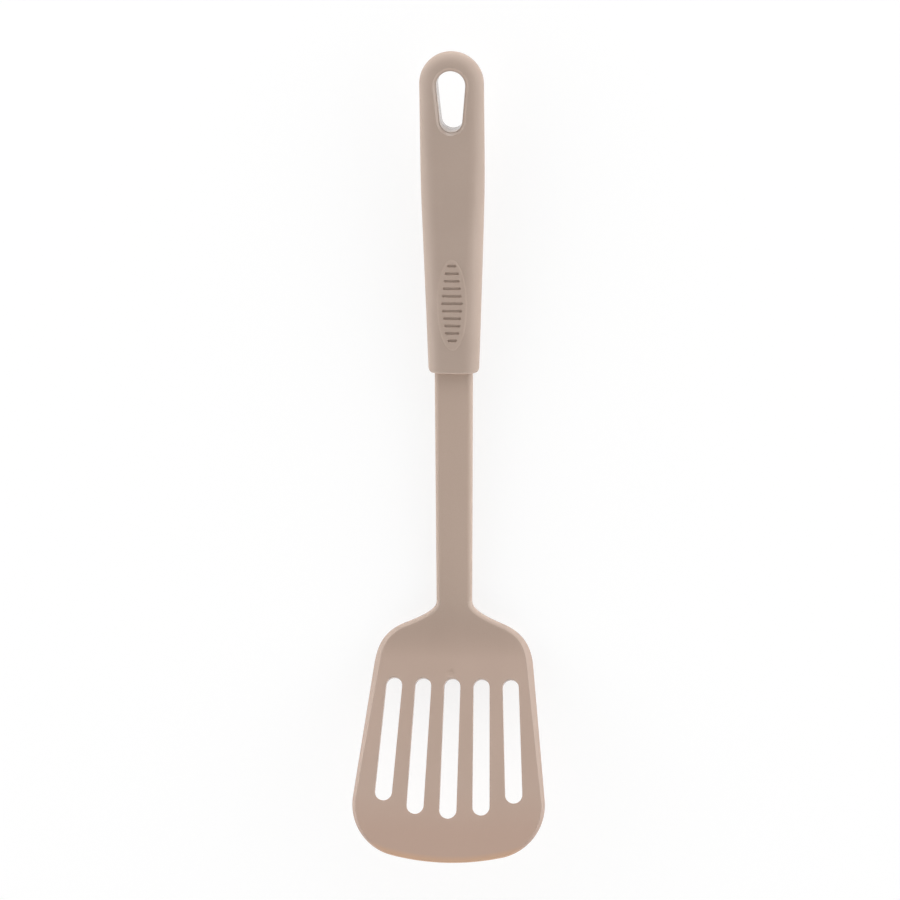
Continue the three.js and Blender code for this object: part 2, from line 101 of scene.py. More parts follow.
MOUTH_MIDDLE_STEPS = 9
MOUTH_STEPS = 7

# Hanging eye
EYE_END_WALL = 6.94
EYE_WIDE_RADIUS = 6.26
EYE_NARROW_RADIUS = 4.94
EYE_CENTRE_DISTANCE = 14
EYE_RIM_WIDTH = 0.9
EYE_RIM_DEPTH = 0.9
EYE_RIM_ROUND = 0.1
EYE_LEDGE_WIDTH = 0.4
EYE_NARROW_LEAN = 0.6
EYE_BACK_ROUND = 0.9
EYE_SPACING = 0.6

# Thumb pad. It is larger than its pocket by the squeeze, so that no gap shows
PAD_MOUTH_LAND = 9.65
PAD_LENGTH = 37.1
PAD_WIDTH = 12.3
PAD_SKIRT = 1.2
PAD_PROUD = 0.2
PAD_EDGE_WIDTH = 0.8
PAD_EDGE_POWER = 1.5
PAD_EDGE_STEPS = 5
PAD_SPACING = 0.5
PAD_SQUEEZE = 0.02
POCKET_DEPTH = 1.4
GROOVE_FIELD_SHIFT = 0.75
GROOVE_PITCH = 3.05
GROOVES_EACH_WAY = 5
GROOVE_SIDE_LAND = 1.825
GROOVE_SHORTENING = 0.7
GROOVE_LAST_SHORTENING = 1.4
GROOVE_WIDTH = 1.2
GROOVE_DEPTH = 0.42
GROOVE_LIP = 0.09
GROOVE_SPACING = 0.3

# Stem, tang and the socket around them
STEM_WIDTH_MOUTH = 15.5
STEM_WIDTH_NECK = 14.6
STEM_THICKNESS = 6
STEM_EDGE_ROUND = 1.9
STEM_SEAT_DEPTH = 8.8
SEAT_CORNER_ROUND = 2.5
SOCKET_GAP = 0.08
SOCKET_LIP = 0.12
TANG_LENGTH = 60
TANG_CORE_WIDTH = 8.6
TANG_BARB_WIDTH = 11
TANG_THICKNESS = 4.4
TANG_BARB_COUNT = 5
TANG_BARB_PITCH = 10
TANG_BARB_LENGTH = 5.5
TANG_OVERLAP = 1

# Head of the blade, seen from above
STEM_LENGTH = 95.15
HEAD_LENGTH = 108.85
FLARE_RUN = 9.7
FLARE_HALF_WIDTH = 20.1
FLARE_ANGLE = math.radians(67.4)
FLARE_STEM_PULL = 3.5
FLARE_NECK_PULL = 8.9
FLARE_SHOULDER_PULL = 9.7
SIDE_PULL = 8
SHOULDER_RUN = 27.35
SIDE_HALF_WIDTH = 32.97
SIDE_SPREAD = 0.1154
FRONT_RADIUS = 100
FRONT_CORNER_RADIUS = 21.8

# Head of the blade, seen from the side
BEND_LEAD = 3.15
BEND_LENGTH = 28
BEND_ANGLE = math.radians(24)
HEAD_ROOT_THICKNESS = 2.95
WEDGE_LENGTH = 17
WEDGE_THICKNESS = 1.65
FRONT_THICKNESS = 0.8
HEAD_EDGE_LAND = 0.4
HEAD_EDGE_ROUND = 0.3
HEAD_BOTTOM_ROUND = 0.2

# Slots in the head
SLOT_COUNT = 5
SLOT_ROOT_INSET = 6
SLOT_SIDE_LAND = 6.4374
SLOT_PITCH_GAIN = 0.0295
SLOT_ROOT_WIDTH = 6.65
SLOT_FRONT_WIDTH = 7
SLOT_FRONT_LAND = 17.8
SLOT_FRONT_RADIUS = 58
SLOT_LIP = 0.25
SLOT_SPACING = 0.9

# Mark left by the moulding gate. Its steps are shares of its radius and its depth
GATE_PLACE = (-0.7, 126.7)
GATE_RADIUS = 1.3
GATE_DEPTH = 0.07
GATE_POINTS = 32
GATE_STEPS = ((1, 0), (0.9, 1), (0.6, 1), (0.3, 1))

# Places along the handle and the blade
dome_at = HANDLE_LENGTH - HANDLE_GRIP_WIDTH / 2
eye_wide_at = HANDLE_LENGTH - EYE_END_WALL - EYE_WIDE_RADIUS
eye_narrow_at = eye_wide_at - EYE_CENTRE_DISTANCE
pad_at = PAD_MOUTH_LAND + PAD_LENGTH / 2
flare_at = STEM_LENGTH + FLARE_RUN
side_at = STEM_LENGTH + SHOULDER_RUN
front_at = STEM_LENGTH + HEAD_LENGTH
bend_at = STEM_LENGTH - BEND_LEAD
bend_end = bend_at + BEND_LENGTH
wedge_at = front_at - WEDGE_LENGTH
slot_root_at = side_at + SLOT_ROOT_INSET
slot_front_at = front_at - SLOT_FRONT_LAND
seat_end = STEM_SEAT_DEPTH + SOCKET_GAP
tang_end = STEM_SEAT_DEPTH + TANG_LENGTH


# Numbers

def lerp(start, end, share):
    return start + (end - start) * share


def clamp(value, low, high):
    return max(low, min(high, value))


def smoothstep(value, low, high):
    share = clamp((value - low) / (high - low), 0, 1)
    return share * share * (3 - 2 * share)


# Flat outlines, as arrays of points

def arc(centre, radius, start, end, steps=CURVE_STEPS):
    turns = np.linspace(start, end, steps + 1)
    return np.column_stack([centre[0] + radius * np.cos(turns), centre[1] + radius * np.sin(turns)])


def bezier(*controls):
    """Points on the curve that its control points draw, of any count."""
    share = np.linspace(0, 1, CURVE_STEPS + 1)[:, None]
    shape = (CURVE_STEPS + 1, 2)
    points = [np.broadcast_to(np.array(control, float), shape) for control in controls]
    while len(points) > 1:
        points = [lerp(a, b, share) for a, b in zip(points, points[1:])]
    return points[0]


def spaced(points, spacing, closed=False):
    """The same line with evenly spaced points. A closed line doesn't repeat its first point."""
    line = np.vstack([points, points[:1]]) if closed else np.asarray(points)
    steps = np.hypot(*np.diff(line, axis=0).T)
    run = np.concatenate([[0], np.cumsum(steps)])
    count = max(3, round(run[-1] / spacing))
    stations = np.linspace(0, run[-1], count + 1)
    even = np.column_stack([np.interp(stations, run, line[:, k]) for k in range(2)])
    return even[:-1] if closed else even


def mirrored(right):
    """A closed outline from its right half, which starts and ends on the middle line or beside it."""
    left = right[::-1] * (-1, 1)
    return np.vstack([right, left])


def outward(loop):
    """Unit directions out of a closed outline that runs counter-clockwise."""
    along = np.roll(loop, -1, axis=0) - np.roll(loop, 1, axis=0)
    across = np.column_stack([along[:, 1], -along[:, 0]])
    return across / np.hypot(*across.T)[:, None]


def tapered_slot(start, end, start_radius, end_radius):
    """Two round ends joined by tangent lines, counter-clockwise."""
    run = np.subtract(end, start)
    heading = math.atan2(run[1], run[0])
    touch = math.acos((start_radius - end_radius) / math.hypot(*run))
    far = arc(end, end_radius, heading - touch, heading + touch)
    near = arc(start, start_radius, heading + touch, heading + 2 * math.pi - touch)
    return np.vstack([far, near])


def rounded_corner(before, corner, after, radius):
    """Points of the arc that rounds a corner. Of the points beside it, only the directions count."""
    before, corner, after = (np.array(point, float) for point in (before, corner, after))
    come = (corner - before) / np.hypot(*(corner - before))
    leave = (after - corner) / np.hypot(*(after - corner))
    turn = math.acos(clamp(float(come @ leave), -1, 1))
    side = (leave - (come @ leave) * come) / math.sin(turn)
    centre = corner - come * radius * math.tan(turn / 2) + side * radius
    turns = np.linspace(0, turn, CORNER_STEPS + 1)[:, None]
    return centre - side * radius * np.cos(turns) + come * radius * np.sin(turns)


def inside(points, loops):
    """Tells which points lie within the loops, by counting the edges to the right of each."""
    odd = np.zeros(len(points), bool)
    across, up = points[:, :1], points[:, 1:]
    for loop in loops:
        start, end = loop, np.roll(loop, -1, axis=0)
        spans = (start[:, 1] > up) != (end[:, 1] > up)
        rise = np.where(end[:, 1] == start[:, 1], 1, end[:, 1] - start[:, 1])
        meets = start[:, 0] + (up - start[:, 1]) / rise * (end[:, 0] - start[:, 0])
        odd ^= np.sum(spans & (across < meets), axis=1) % 2 == 1
    return odd


# Skins

class Skin:
    """Points and faces of one piece in the making."""

    def __init__(self):
        self.points = []
        self.faces = []
        self.polished = set()

    def ring(self, points):
        first = len(self.points)
        self.points.extend(tuple(float(value) for value in point) for point in points)
        return list(range(first, len(self.points)))

    def bridge(self, rings, closed=True, polished=False):
        """Joins rings, or open rows, of equal point count."""
        first = len(self.faces)
        for ring, other in zip(rings, rings[1:]):
            count = len(ring)
            for k in range(count if closed else count - 1):
                after = (k + 1) % count
                self.faces.append((ring[k], ring[after], other[after], other[k]))
        if polished:
            self.polished.update(range(first, len(self.faces)))

    def cap(self, ring):
        self.faces.append(tuple(ring))

    def fill(self, outer, holes, spacing, surface, axes=(0, 1)):
        """Fills the space between rings with triangles.

        surface(a, b) gives the point whose places along the two axes are a and b.
        """
        rings = [outer, *holes]
        loops = [
            np.array([[self.points[k][axis] for axis in axes] for k in ring])
            for ring in rings
        ]
        border = np.vstack(loops)
        seeds = self.seeds(loops, border, spacing)
        numbers = [k for ring in rings for k in ring]
        numbers += self.ring(surface(a, b) for a, b in seeds)
        walls = []
        for loop in loops:
            first = len(walls)
            walls += [(first + k, first + (k + 1) % len(loop)) for k in range(len(loop))]
        flat = [Vector(point) for point in np.vstack([border, seeds])]
        _, _, triangles, origins, _, _ = delaunay_2d_cdt(flat, walls, [], 0, FILL_TOLERANCE)
        faces = [tuple(origins[k][0] for k in triangle) for triangle in triangles]
        for face in self.reached(faces, walls, len(border)):
            self.faces.append(tuple(numbers[k] for k in face))

    @staticmethod
    def reached(faces, walls, first_seed):
        """The triangles that touch a seed, or that join such a triangle across no wall."""
        closed = {frozenset(wall) for wall in walls}
        sides = [[frozenset((face[k - 1], face[k])) for k in range(3)] for face in faces]
        beside = {}
        for index, own in enumerate(sides):
            for side in own:
                beside.setdefault(side, []).append(index)
        waiting = [index for index, face in enumerate(faces) if max(face) >= first_seed]
        found = set(waiting)
        while waiting:
            for side in sides[waiting.pop()]:
                if side not in closed:
                    fresh = [index for index in beside[side] if index not in found]
                    found.update(fresh)
                    waiting += fresh
        return [faces[index] for index in sorted(found)]

    @staticmethod
    def seeds(loops, border, spacing):
        """A grid of staggered rows inside the loops, clear of their points."""
        low, high = border.min(axis=0), border.max(axis=0)
        rows = np.arange(low[1], high[1], spacing * math.sqrt(3) / 2)
        grid = [
            (a + spacing / 2 * (index % 2), b)
            for index, b in enumerate(rows)
            for a in np.arange(low[0], high[0], spacing)
        ]
        grid = np.array(grid)
        grid = grid[inside(grid, loops)]
        nearest = np.full(len(grid), np.inf)
        for point in border:
            nearest = np.minimum(nearest, np.hypot(*(grid - point).T))
        return grid[nearest > SEED_CLEARANCE * spacing]


to_table = (
    Matrix.Scale(MM, 4)
    @ Matrix.Translation(REST_PLACE)
    @ Matrix.Rotation(REST_ANGLE, 4, "X")
)


def make_piece(name, skin, place, materials, node):
    """Makes the mesh of a finished skin in the part's frame, and lets it stand for a CAD node."""
    mesh = bpy.data.meshes.new(name)
    mesh.from_pydata([to_table @ place(*point) for point in skin.points], [], skin.faces)
    faces = bmesh.new()
    faces.from_mesh(mesh)
    bmesh.ops.recalc_face_normals(faces, faces=faces.faces)
    faces.to_mesh(mesh)
    faces.free()
    mesh.shade_smooth()
    mesh.set_sharp_from_angle(angle=SHARP_ANGLE)
    for material in materials:
        mesh.materials.append(material)
    for index in skin.polished:
        mesh.polygons[index].material_index = 1
    piece = bpy.data.objects.new(name, mesh)
    bpy.context.scene.collection.objects.link(piece)
    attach(piece, "root")
    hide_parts(node)


# Blade

def blade_place(x, at, height):
    """Where a point lies whose height is measured from the underside, square to it."""
    bend_radius = BEND_LENGTH / BEND_ANGLE
    turn = clamp((at - bend_at) / bend_radius, 0, BEND_ANGLE)
    beyond = max(0, at - bend_end)
    forward = min(at, bend_at) + bend_radius * math.sin(turn) + beyond * math.cos(turn)
    up = bend_radius * (1 - math.cos(turn)) + beyond * math.sin(turn)
    y = height * math.sin(turn) - forward
    z = height * math.cos(turn) + up - STEM_THICKNESS / 2
    return Vector((x, y, z))


def blade_thickness(at):
    if at > wedge_at:
        return lerp(WEDGE_THICKNESS, FRONT_THICKNESS, (at - wedge_at) / WEDGE_LENGTH)
    head = lerp(HEAD_ROOT_THICKNESS, WEDGE_THICKNESS, (at - bend_end) / (wedge_at - bend_end))
    return lerp(STEM_THICKNESS, head, smoothstep(at, bend_at, bend_end))


def stem_half_width(at):
    return lerp(STEM_WIDTH_MOUTH, STEM_WIDTH_NECK, at / STEM_LENGTH) / 2


def front_corner():
    """Centre of the corner arc that touches both the straight side and the front arc."""
    side = np.array([SIDE_SPREAD, 1]) / math.hypot(SIDE_SPREAD, 1)
    front_centre = np.array([0, front_at - FRONT_RADIUS])
    inward = np.array([-side[1], side[0]]) * FRONT_CORNER_RADIUS
    start = np.array([SIDE_HALF_WIDTH, side_at]) + inward - front_centre
    ahead = start @ side
    reach = FRONT_RADIUS - FRONT_CORNER_RADIUS
    travel = math.sqrt(ahead ** 2 - start @ start + reach ** 2) - ahead
    return start + side * travel + front_centre


def blade_outline():
    """The blade from above, from the seat in the handle round the front edge and back."""
    neck = STEM_WIDTH_NECK / 2
    seat = stem_half_width(-STEM_SEAT_DEPTH)
    seat_centre = (seat - SEAT_CORNER_ROUND, SEAT_CORNER_ROUND - STEM_SEAT_DEPTH)
    flare = np.array([math.sin(FLARE_ANGLE), math.cos(FLARE_ANGLE)])
    side = np.array([SIDE_SPREAD, 1]) / math.hypot(SIDE_SPREAD, 1)
    flare_point = np.array([FLARE_HALF_WIDTH, flare_at])
    side_point = np.array([SIDE_HALF_WIDTH, side_at])
    corner = front_corner()
    front_centre = front_at - FRONT_RADIUS
    front_turn = math.atan2(corner[1] - front_centre, corner[0])
    right = [
        [(0, -STEM_SEAT_DEPTH)],
        arc(seat_centre, SEAT_CORNER_ROUND, -math.pi / 2, 0),
        bezier(
            (neck, STEM_LENGTH),
            (neck, STEM_LENGTH + FLARE_STEM_PULL),
            flare_point - FLARE_NECK_PULL * flare,
            flare_point),
        bezier(
            flare_point,
            flare_point + FLARE_SHOULDER_PULL * flare,
            side_point - SIDE_PULL * side,
            side_point),
        arc(corner, FRONT_CORNER_RADIUS, -math.atan(SIDE_SPREAD), front_turn),
        arc((0, front_centre), FRONT_RADIUS, front_turn, math.pi / 2),
    ]
    half = spaced(np.vstack(right), POINT_SPACING)
    return np.vstack([half, half[-2:0:-1] * (-1, 1)])


def edge_profile(at):
    """The blade's edge at one length, from its upper face round to its underside.

    Each point is (inset from the outline, distance from the face, whether that is the upper face).
    The stem has round edges. The head has a flat bevel that narrows as the head gets thinner.
    """
    headness = smoothstep(at, STEM_LENGTH, side_at)
    thickness = blade_thickness(at)
    # At this width the two rounded corners of a bevel at 45 degrees all but meet
    stem_bevel = STEM_EDGE_ROUND * (1 - math.tan(math.pi / 8)) + SUPPORT
    head_bevel = min(thickness, HEAD_ROOT_THICKNESS) - HEAD_EDGE_LAND
    bevel = lerp(stem_bevel, head_bevel, headness)
    round_above = lerp(STEM_EDGE_ROUND, HEAD_EDGE_ROUND, headness)
    round_below = lerp(STEM_EDGE_ROUND, HEAD_BOTTOM_ROUND, headness)
    upper = rounded_corner((bevel + 1, 0), (bevel, 0), (0, bevel), round_above)
    lower = rounded_corner((bevel, 0), (0, bevel), (0, bevel + 1), round_above)
    under = rounded_corner((0, 1), (0, 0), (1, 0), round_below)
    top = [(upper[0][0] + SUPPORT, 0), *upper, *lower]
    bottom = [*under, (under[-1][0] + SUPPORT, 0)]
    return [(*point, True) for point in top] + [(*point, False) for point in bottom]


def slot_profile():
    """A slot's wall with rounded lips, as points like those of the blade's edge."""
    lip = rounded_corner((1, 0), (0, 0), (0, 1), SLOT_LIP)
    top = [(SLOT_LIP + SUPPORT, 0), *lip]
    return [(*point, True) for point in top] + [(*point, False) for point in reversed(top)]


def wall_rings(skin, loop, into, profiles):
    """Rings that follow an outline, each set into the material as the profile at each point says."""
    rings = []
    for steps in zip(*profiles):
        points = []
        for (x, at), (into_x, into_at), (inset, distance, from_top) in zip(loop, into, steps):
            here = at + into_at * inset
            height = blade_thickness(here) - distance if from_top else distance
            points.append((x + into_x * inset, here, height))
        rings.append(skin.ring(points))
    return rings


def slot_outline(index):
    """One slot. They share the head's width, fan out with it, and end in front along an arc."""
    outermost = (SLOT_COUNT - 1) / 2
    step = index - outermost
    root_radius = SLOT_ROOT_WIDTH / 2
    front_radius = SLOT_FRONT_WIDTH / 2
    root_half_width = SIDE_HALF_WIDTH + SIDE_SPREAD * SLOT_ROOT_INSET
    root_pitch = (root_half_width - SLOT_SIDE_LAND - root_radius) / outermost

    def across(at):
        return step * (root_pitch + SLOT_PITCH_GAIN * (at - slot_root_at))

    sag = SLOT_FRONT_RADIUS - math.sqrt(SLOT_FRONT_RADIUS ** 2 - across(slot_front_at) ** 2)
    root_centre = slot_root_at + root_radius
    front_centre = slot_front_at - sag - front_radius
    root = (across(root_centre), root_centre)
    front = (across(front_centre), front_centre)
    return spaced(tapered_slot(root, front, root_radius, front_radius), SLOT_SPACING, closed=True)


def gate_mark(skin):
    """The shallow round recess where the moulding gate was trimmed. Returns its rim."""
    x, at = GATE_PLACE
    turns = np.linspace(0, 2 * math.pi, GATE_POINTS, endpoint=False)
    rings = []
    for share, depth in GATE_STEPS:
        points = []
        for turn in turns:
            here = at + GATE_RADIUS * share * math.sin(turn)
            height = blade_thickness(here) - GATE_DEPTH * depth
            points.append((x + GATE_RADIUS * share * math.cos(turn), here, height))
        rings.append(skin.ring(points))
    skin.bridge(rings)
    skin.cap(rings[-1])
    return rings[0]


def tang(skin):
    """The barbed tang inside the handle."""
    core = TANG_CORE_WIDTH / 2
    barb = TANG_BARB_WIDTH / 2
    edge = [(core, STEM_SEAT_DEPTH - TANG_OVERLAP)]
    for index in reversed(range(TANG_BARB_COUNT)):
        tip = tang_end - TANG_BARB_LENGTH - index * TANG_BARB_PITCH
        edge += [(core, tip), (barb, tip), (core, tip + TANG_BARB_LENGTH)]
    outline = mirrored(np.array(edge))
    low = (STEM_THICKNESS - TANG_THICKNESS) / 2
    heights = (low, low + TANG_THICKNESS)
    rings = [skin.ring((x, -y, height) for x, y in outline) for height in heights]
    skin.bridge(rings)
    for ring in rings:
        skin.cap(ring)


def build_blade(materials):
    skin = Skin()
    outline = blade_outline()
    edge = wall_rings(skin, outline, -outward(outline), [edge_profile(at) for _, at in outline])
    # The first ring lies on the face, and those of the bevel's two rounded corners follow
    bevel_end = 2 * (CORNER_STEPS + 1)
    skin.bridge(edge[:2])
    skin.bridge(edge[1:bevel_end + 1], polished=True)
    skin.bridge(edge[bevel_end:])
    # The stem's edges are as dull as its faces
    skin.polished = {
        face for face in skin.polished
        if skin.points[skin.faces[face][0]][1] > STEM_LENGTH
    }
    slots = []
    for index in range(SLOT_COUNT):
        loop = slot_outline(index)
        wall = wall_rings(skin, loop, outward(loop), [slot_profile()] * len(loop))
        skin.bridge(wall, polished=True)
        slots.append(wall)
    upper_holes = [rings[0] for rings in slots] + [gate_mark(skin)]
    lower_holes = [rings[-1] for rings in slots]
    skin.fill(edge[0], upper_holes, FILL_SPACING, lambda x, at: (x, at, blade_thickness(at)))
    skin.fill(edge[-1], lower_holes, FILL_SPACING, lambda x, at: (x, at, 0))
    tang(skin)
    make_piece("nylon_blade", skin, blade_place, materials, "blade")


# Handle

def handle_place(x, y, z):
    """The handle is drawn where it stands."""
    return Vector((x, y, z))


def handle_centre(y):
    return HANDLE_RISE * (y / HANDLE_LENGTH) ** 2


def swelling(y, mouth, middle):
    """A depth that grows from the mouth to the belly, and then goes over to the depth at the eye."""
    swell = lerp(mouth, middle, smoothstep(y, 0, HANDLE_BELLY_AT))
    return lerp(swell, HANDLE_EYE_DEPTH, smoothstep(y, HANDLE_BELLY_AT, HANDLE_THIN_FROM))


def front_depth(y):
    return swelling(y, HANDLE_FRONT_MOUTH_DEPTH, HANDLE_FRONT_DEPTH)


def back_depth(y):
    return swelling(y, HANDLE_BACK_MOUTH_DEPTH, HANDLE_BACK_DEPTH)


def handle_half_outline():
    """The handle's right edge from above the mouth's rounding to the middle of the hanging end."""
    mouth = HANDLE_MOUTH_WIDTH / 2
    grip = HANDLE_GRIP_WIDTH / 2
    blend_from = HANDLE_TAPER_LENGTH - HANDLE_TAPER_BLEND
    blend_half = lerp(mouth, grip, blend_from / HANDLE_TAPER_LENGTH)
    blend_to = HANDLE_TAPER_LENGTH + HANDLE_TAPER_BLEND
    return np.vstack([
        [(mouth, HANDLE_MOUTH_CORNER_LENGTH)],
        bezier((blend_half, blend_from), (grip, HANDLE_TAPER_LENGTH), (grip, blend_to)),
        arc((0, dome_at), grip, 0, math.pi / 2),
    ])


right_edge = handle_half_outline()


def edge_distance(x, y):
    """How far inside the handle's outline a point lies."""
    if y > dome_at:
        return HANDLE_GRIP_WIDTH / 2 - math.hypot(x, y - dome_at)
    return float(np.interp(y, right_edge[:, 1], right_edge[:, 0])) - abs(x)


def crown(distance, round_width):
    """Share of the full depth at a distance from the edge."""
    from_flat = 1 - clamp(distance / round_width, 0, 1)
    return math.sqrt(1 - from_flat ** 2)


def front_height(x, y):
    return handle_centre(y) + front_depth(y) * crown(edge_distance(x, y), HANDLE_FRONT_ROUND)


def back_height(x, y):
    return handle_centre(y) - back_depth(y) * crown(edge_distance(x, y), HANDLE_BACK_ROUND)


def band_insets(width, round_width):
    """Insets from the edge that take even turns round the handle's rounded side."""
    last = math.acos(1 - width / round_width)
    turns = np.linspace(0, last, SIDE_BAND_STEPS + 1)[1:]
    return [round_width * (1 - math.cos(turn)) for turn in turns]


front_insets = band_insets(SIDE_FRONT_BAND, HANDLE_FRONT_ROUND)
back_insets = band_insets(SIDE_BACK_BAND, HANDLE_BACK_ROUND)


def side_column(x, y):
    """Points round the handle's side, from the back to the front, at one point of its outline."""
    if y > dome_at:
        into = -np.array([x, y - dome_at]) / (HANDLE_GRIP_WIDTH / 2)
    else:
        into = np.array([-math.copysign(1, x), 0])
    points = []
    for inset in reversed(back_insets):
        here_x, here_y = np.array([x, y]) + into * inset
        depth = back_depth(here_y) * crown(inset, HANDLE_BACK_ROUND)
        points.append((here_x, here_y, handle_centre(here_y) - depth))
    points.append((x, y, handle_centre(y)))
    for inset in front_insets:
        here_x, here_y = np.array([x, y]) + into * inset
        depth = front_depth(here_y) * crown(inset, HANDLE_FRONT_ROUND)
        points.append((here_x, here_y, handle_centre(here_y) + depth))
    return points


def mouth_section(turn):
    """A closed section across the mouth's rounded edge: right side, front, left side and back."""
    y = HANDLE_MOUTH_CORNER_LENGTH * (1 - math.sin(turn))
    half = HANDLE_MOUTH_WIDTH / 2 - HANDLE_MOUTH_CORNER_WIDTH * (1 - math.cos(turn))
    lip_drop = HANDLE_MOUTH_LIP * (1 - crown(y, HANDLE_MOUTH_LIP))
    front = front_depth(y) - lip_drop
    back = back_depth(y) - lip_drop
    front_rows = [(half - inset, front * crown(inset, HANDLE_FRONT_ROUND)) for inset in front_insets]
    back_rows = [(half - inset, -back * crown(inset, HANDLE_BACK_ROUND)) for inset in back_insets]
    shares = np.linspace(1, -1, MOUTH_MIDDLE_STEPS + 2)[1:-1]
    front_edge = half - front_insets[-1]
    back_edge = half - back_insets[-1]
    front_middle = [
        (front_edge * share, front * crown(half - abs(front_edge * share), HANDLE_FRONT_ROUND))
        for share in shares
    ]
    back_middle = [
        (-back_edge * share, -back * crown(half - abs(back_edge * share), HANDLE_BACK_ROUND))
        for share in shares
    ]
    right = [*reversed(back_rows), (half, 0), *front_rows]
    left = [(-x, z) for x, z in reversed(right)]
    return [(x, y, handle_centre(y) + z) for x, z in [*right, *front_middle, *left, *back_middle]]


def stem_socket(skin):
    """The seat of the stem's end, with the tang's socket behind it. Returns its lip."""
    half = stem_half_width(0) + SOCKET_GAP
    depth = STEM_THICKNESS / 2 + SOCKET_GAP
    corner = STEM_EDGE_ROUND + SOCKET_GAP
    quarter = math.pi / 2
    centres = [
        (half - corner, depth - corner), (corner - half, depth - corner),
        (corner - half, corner - depth), (half - corner, corner - depth)]
    corners = [arc(c, corner, k * quarter, (k + 1) * quarter) for k, c in enumerate(centres)]
    loop = spaced(np.vstack(corners), SLOT_SPACING, closed=True)
    out = outward(loop)
    lip = rounded_corner((1, 0), (0, 0), (0, 1), SOCKET_LIP)
    rings = []
    for grow, y in [*lip, (0, seat_end)]:
        rings.append(skin.ring((x, y, z) for x, z in loop + out * grow))
    skin.bridge(rings)
    holes = [tang_socket(skin)]
    skin.fill(rings[-1], holes, FILL_SPACING, lambda x, z: (x, seat_end, z), axes=(0, 2))
    return rings[0]


def tang_socket(skin):
    """The blind socket that holds the tang, behind the stem's seat. Returns its mouth."""
    half = TANG_BARB_WIDTH / 2 + SOCKET_GAP
    depth = TANG_THICKNESS / 2 + SOCKET_GAP
    corners = [(half, -depth), (half, depth), (-half, depth), (-half, -depth)]
    sides = zip(corners, corners[1:] + corners[:1])
    loop = np.vstack([spaced(side, SLOT_SPACING)[:-1] for side in sides])
    rings = [skin.ring((x, y, z) for x, z in loop) for y in (seat_end, tang_end + SOCKET_GAP)]
    skin.bridge(rings)
    skin.cap(rings[-1])
    return rings[0]


def eye_rings(skin):
    """The hanging eye, square to the handle's centre line there. Returns its front and back rims."""
    middle = (eye_wide_at + eye_narrow_at) / 2
    slope = math.atan(2 * HANDLE_RISE * middle / HANDLE_LENGTH ** 2)
    depth = HANDLE_EYE_DEPTH
    narrow = (0, eye_narrow_at - middle)
    wide = (0, eye_wide_at - middle)
    outline = tapered_slot(narrow, wide, EYE_NARROW_RADIUS, EYE_WIDE_RADIUS)
    loop = spaced(outline, EYE_SPACING, closed=True)
    out = outward(loop)

    def ring(grow, distance, on_front):
        side = 1 if on_front else -1
        points = []
        for x, along in loop + out * grow:
            if not on_front:
                along += EYE_NARROW_LEAN * clamp(-2 * along / EYE_CENTRE_DISTANCE, 0, 1)
            y = middle + along * math.cos(slope) - side * depth * math.sin(slope)
            z = front_height(x, y) if on_front else back_height(x, y)
            drop = side * distance
            points.append((x, y + drop * math.sin(slope), z - drop * math.cos(slope)))
        return skin.ring(points)

    step = EYE_LEDGE_WIDTH
    rim_top = (EYE_RIM_WIDTH, 0)
    rim_foot = (0, EYE_RIM_DEPTH)
    ledge_edge = (-step, EYE_RIM_DEPTH)
    rim = rounded_corner((EYE_RIM_WIDTH + 1, 0), rim_top, rim_foot, EYE_RIM_ROUND)
    ledge = rounded_corner(rim_foot, ledge_edge, (-step, EYE_RIM_DEPTH + 1), EYE_RIM_ROUND)
    front = [(EYE_RIM_WIDTH + SUPPORT, 0), *rim, rim_foot, *ledge]
    back_rim = rounded_corner((2, 0), (0, 0), (0, 2), EYE_BACK_ROUND)
    back = [(EYE_BACK_ROUND + SUPPORT, 0), *back_rim]
    front_rings = [ring(grow, distance, True) for grow, distance in front]
    back_rings = [ring(grow - step, distance, False) for grow, distance in reversed(back)]
    skin.bridge(front_rings[:2])
    skin.bridge(front_rings[1:], polished=True)
    skin.bridge([front_rings[-1], back_rings[0]], polished=True)
    skin.bridge(back_rings)
    return front_rings[0], back_rings[-1]


def oval(grow):
    """The thumb pad's outline, made larger all round."""
    half_width = PAD_WIDTH / 2 + grow
    half_length = PAD_LENGTH / 2 + grow
    turns = np.linspace(0, 2 * math.pi, round(math.pi * PAD_LENGTH / PAD_SPACING), endpoint=False)
    return np.column_stack([half_width * np.cos(turns), pad_at + half_length * np.sin(turns)])


def pad_pocket(skin):
    """The recess that holds the thumb pad. Returns its lip on the handle's front."""
    rings = []
    for grow, drop in [(SUPPORT, 0), (-PAD_SQUEEZE, 0), (-PAD_SQUEEZE, POCKET_DEPTH)]:
        rings.append(skin.ring((x, y, front_height(x, y) - drop) for x, y in oval(grow)))
    skin.bridge(rings)
    skin.cap(rings[-1])
    return rings[0]


